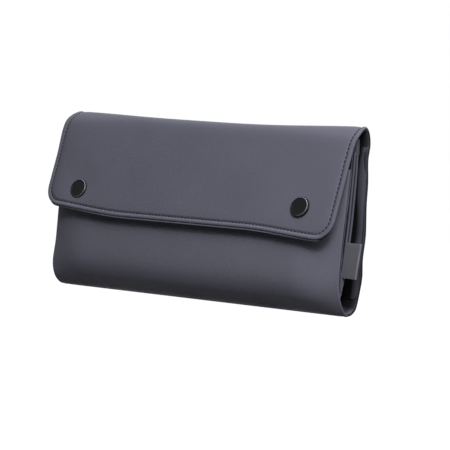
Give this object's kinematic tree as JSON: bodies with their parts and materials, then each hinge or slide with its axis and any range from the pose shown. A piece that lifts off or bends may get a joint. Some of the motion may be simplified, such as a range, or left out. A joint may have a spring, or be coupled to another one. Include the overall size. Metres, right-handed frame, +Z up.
{
  "type": "cable organizer pouch",
  "caption": "Soft three-fold pouch for cables: padded back, round top fold and snap-down flap, front pocket with gusseted sides and a divider leaf, and a tunnel open at both ends.",
  "frame": {"origin": "middle of the face that the pouch stands on, under its bottom fold", "axes": "+X along the pouch to the side with the label, +Y to its back, +Z up; the flap and front panel face -Y"},
  "size_m": [0.2279, 0.0375, 0.1091],
  "materials": {
    "shell_fabric": "matt coated twill",
    "foam": "closed-cell foam",
    "lining_fabric": "smooth woven lining",
    "pocket_fabric": "woven pocket cloth",
    "binding_tape": "woven tape",
    "elastic": "ribbed elastic",
    "woven_label": "woven",
    "cap_metal": "dark enamel with a bright rim",
    "snap_metal": "dark plated",
    "spring_steel": "bright"
  },
  "bodies": {
    "back": {"back_shell": "shell_fabric", "back_padding": "foam", "back_lining": "lining_fabric", "back_pocket": "pocket_fabric", "bottom_shell": "shell_fabric", "bottom_padding": "foam", "bottom_lining": "lining_fabric"},
    "top_fold": {"top_fold_shell": "shell_fabric", "top_fold_padding": "foam", "top_fold_lining": "lining_fabric"},
    "flap": {"flap_shell": "shell_fabric", "flap_padding": "foam", "flap_lining": "lining_fabric", "snap_cap_left": "cap_metal", "snap_cap_right": "cap_metal", "snap_socket_left": "snap_metal", "snap_socket_right": "snap_metal", "snap_spring_left": "spring_steel", "snap_spring_right": "spring_steel"},
    "front": {"front_shell": "shell_fabric", "front_padding": "foam", "front_lining": "lining_fabric", "snap_stud_left": "snap_metal", "snap_stud_right": "snap_metal", "snap_post_left": "snap_metal", "snap_post_right": "snap_metal", "gusset_front_left": "lining_fabric", "gusset_front_right": "lining_fabric", "side_label": "woven_label"},
    "leaf": {"divider_leaf": "pocket_fabric", "leaf_binding": "binding_tape", "cable_loop_band": "elastic", "gusset_rear_left": "lining_fabric", "gusset_rear_right": "lining_fabric"}
  },
  "joints": [
    {"name": "top_fold_hinge", "type": "hinge", "parent": "back", "child": "top_fold", "pos_m": [0, 0.0097, 0.10574], "axis": [-1, 0, 0], "range_deg": [0, 81]},
    {"name": "flap_hinge", "type": "hinge", "parent": "top_fold", "child": "flap", "pos_m": [0, -0.00263, 0.10768], "axis": [-1, 0, 0], "range_deg": [0, 81]},
    {"name": "front_hinge", "type": "hinge", "parent": "back", "child": "front", "pos_m": [0, -0.01024, 0.00176], "axis": [1, 0, 0], "range_deg": [0, 36]},
    {"name": "leaf_hinge", "type": "hinge", "parent": "front", "child": "leaf", "pos_m": [0, -0.0088, 0.01], "axis": [-1, 0, 0], "range_deg": [0, 18]}
  ],
  "couplings": [
    {"joint": "top_fold_hinge", "follows": "flap_hinge", "ratio": 1},
    {"joint": "front_hinge", "follows": "flap_hinge", "ratio": 0.4444},
    {"joint": "leaf_hinge", "follows": "flap_hinge", "ratio": 0.2222}
  ]
}
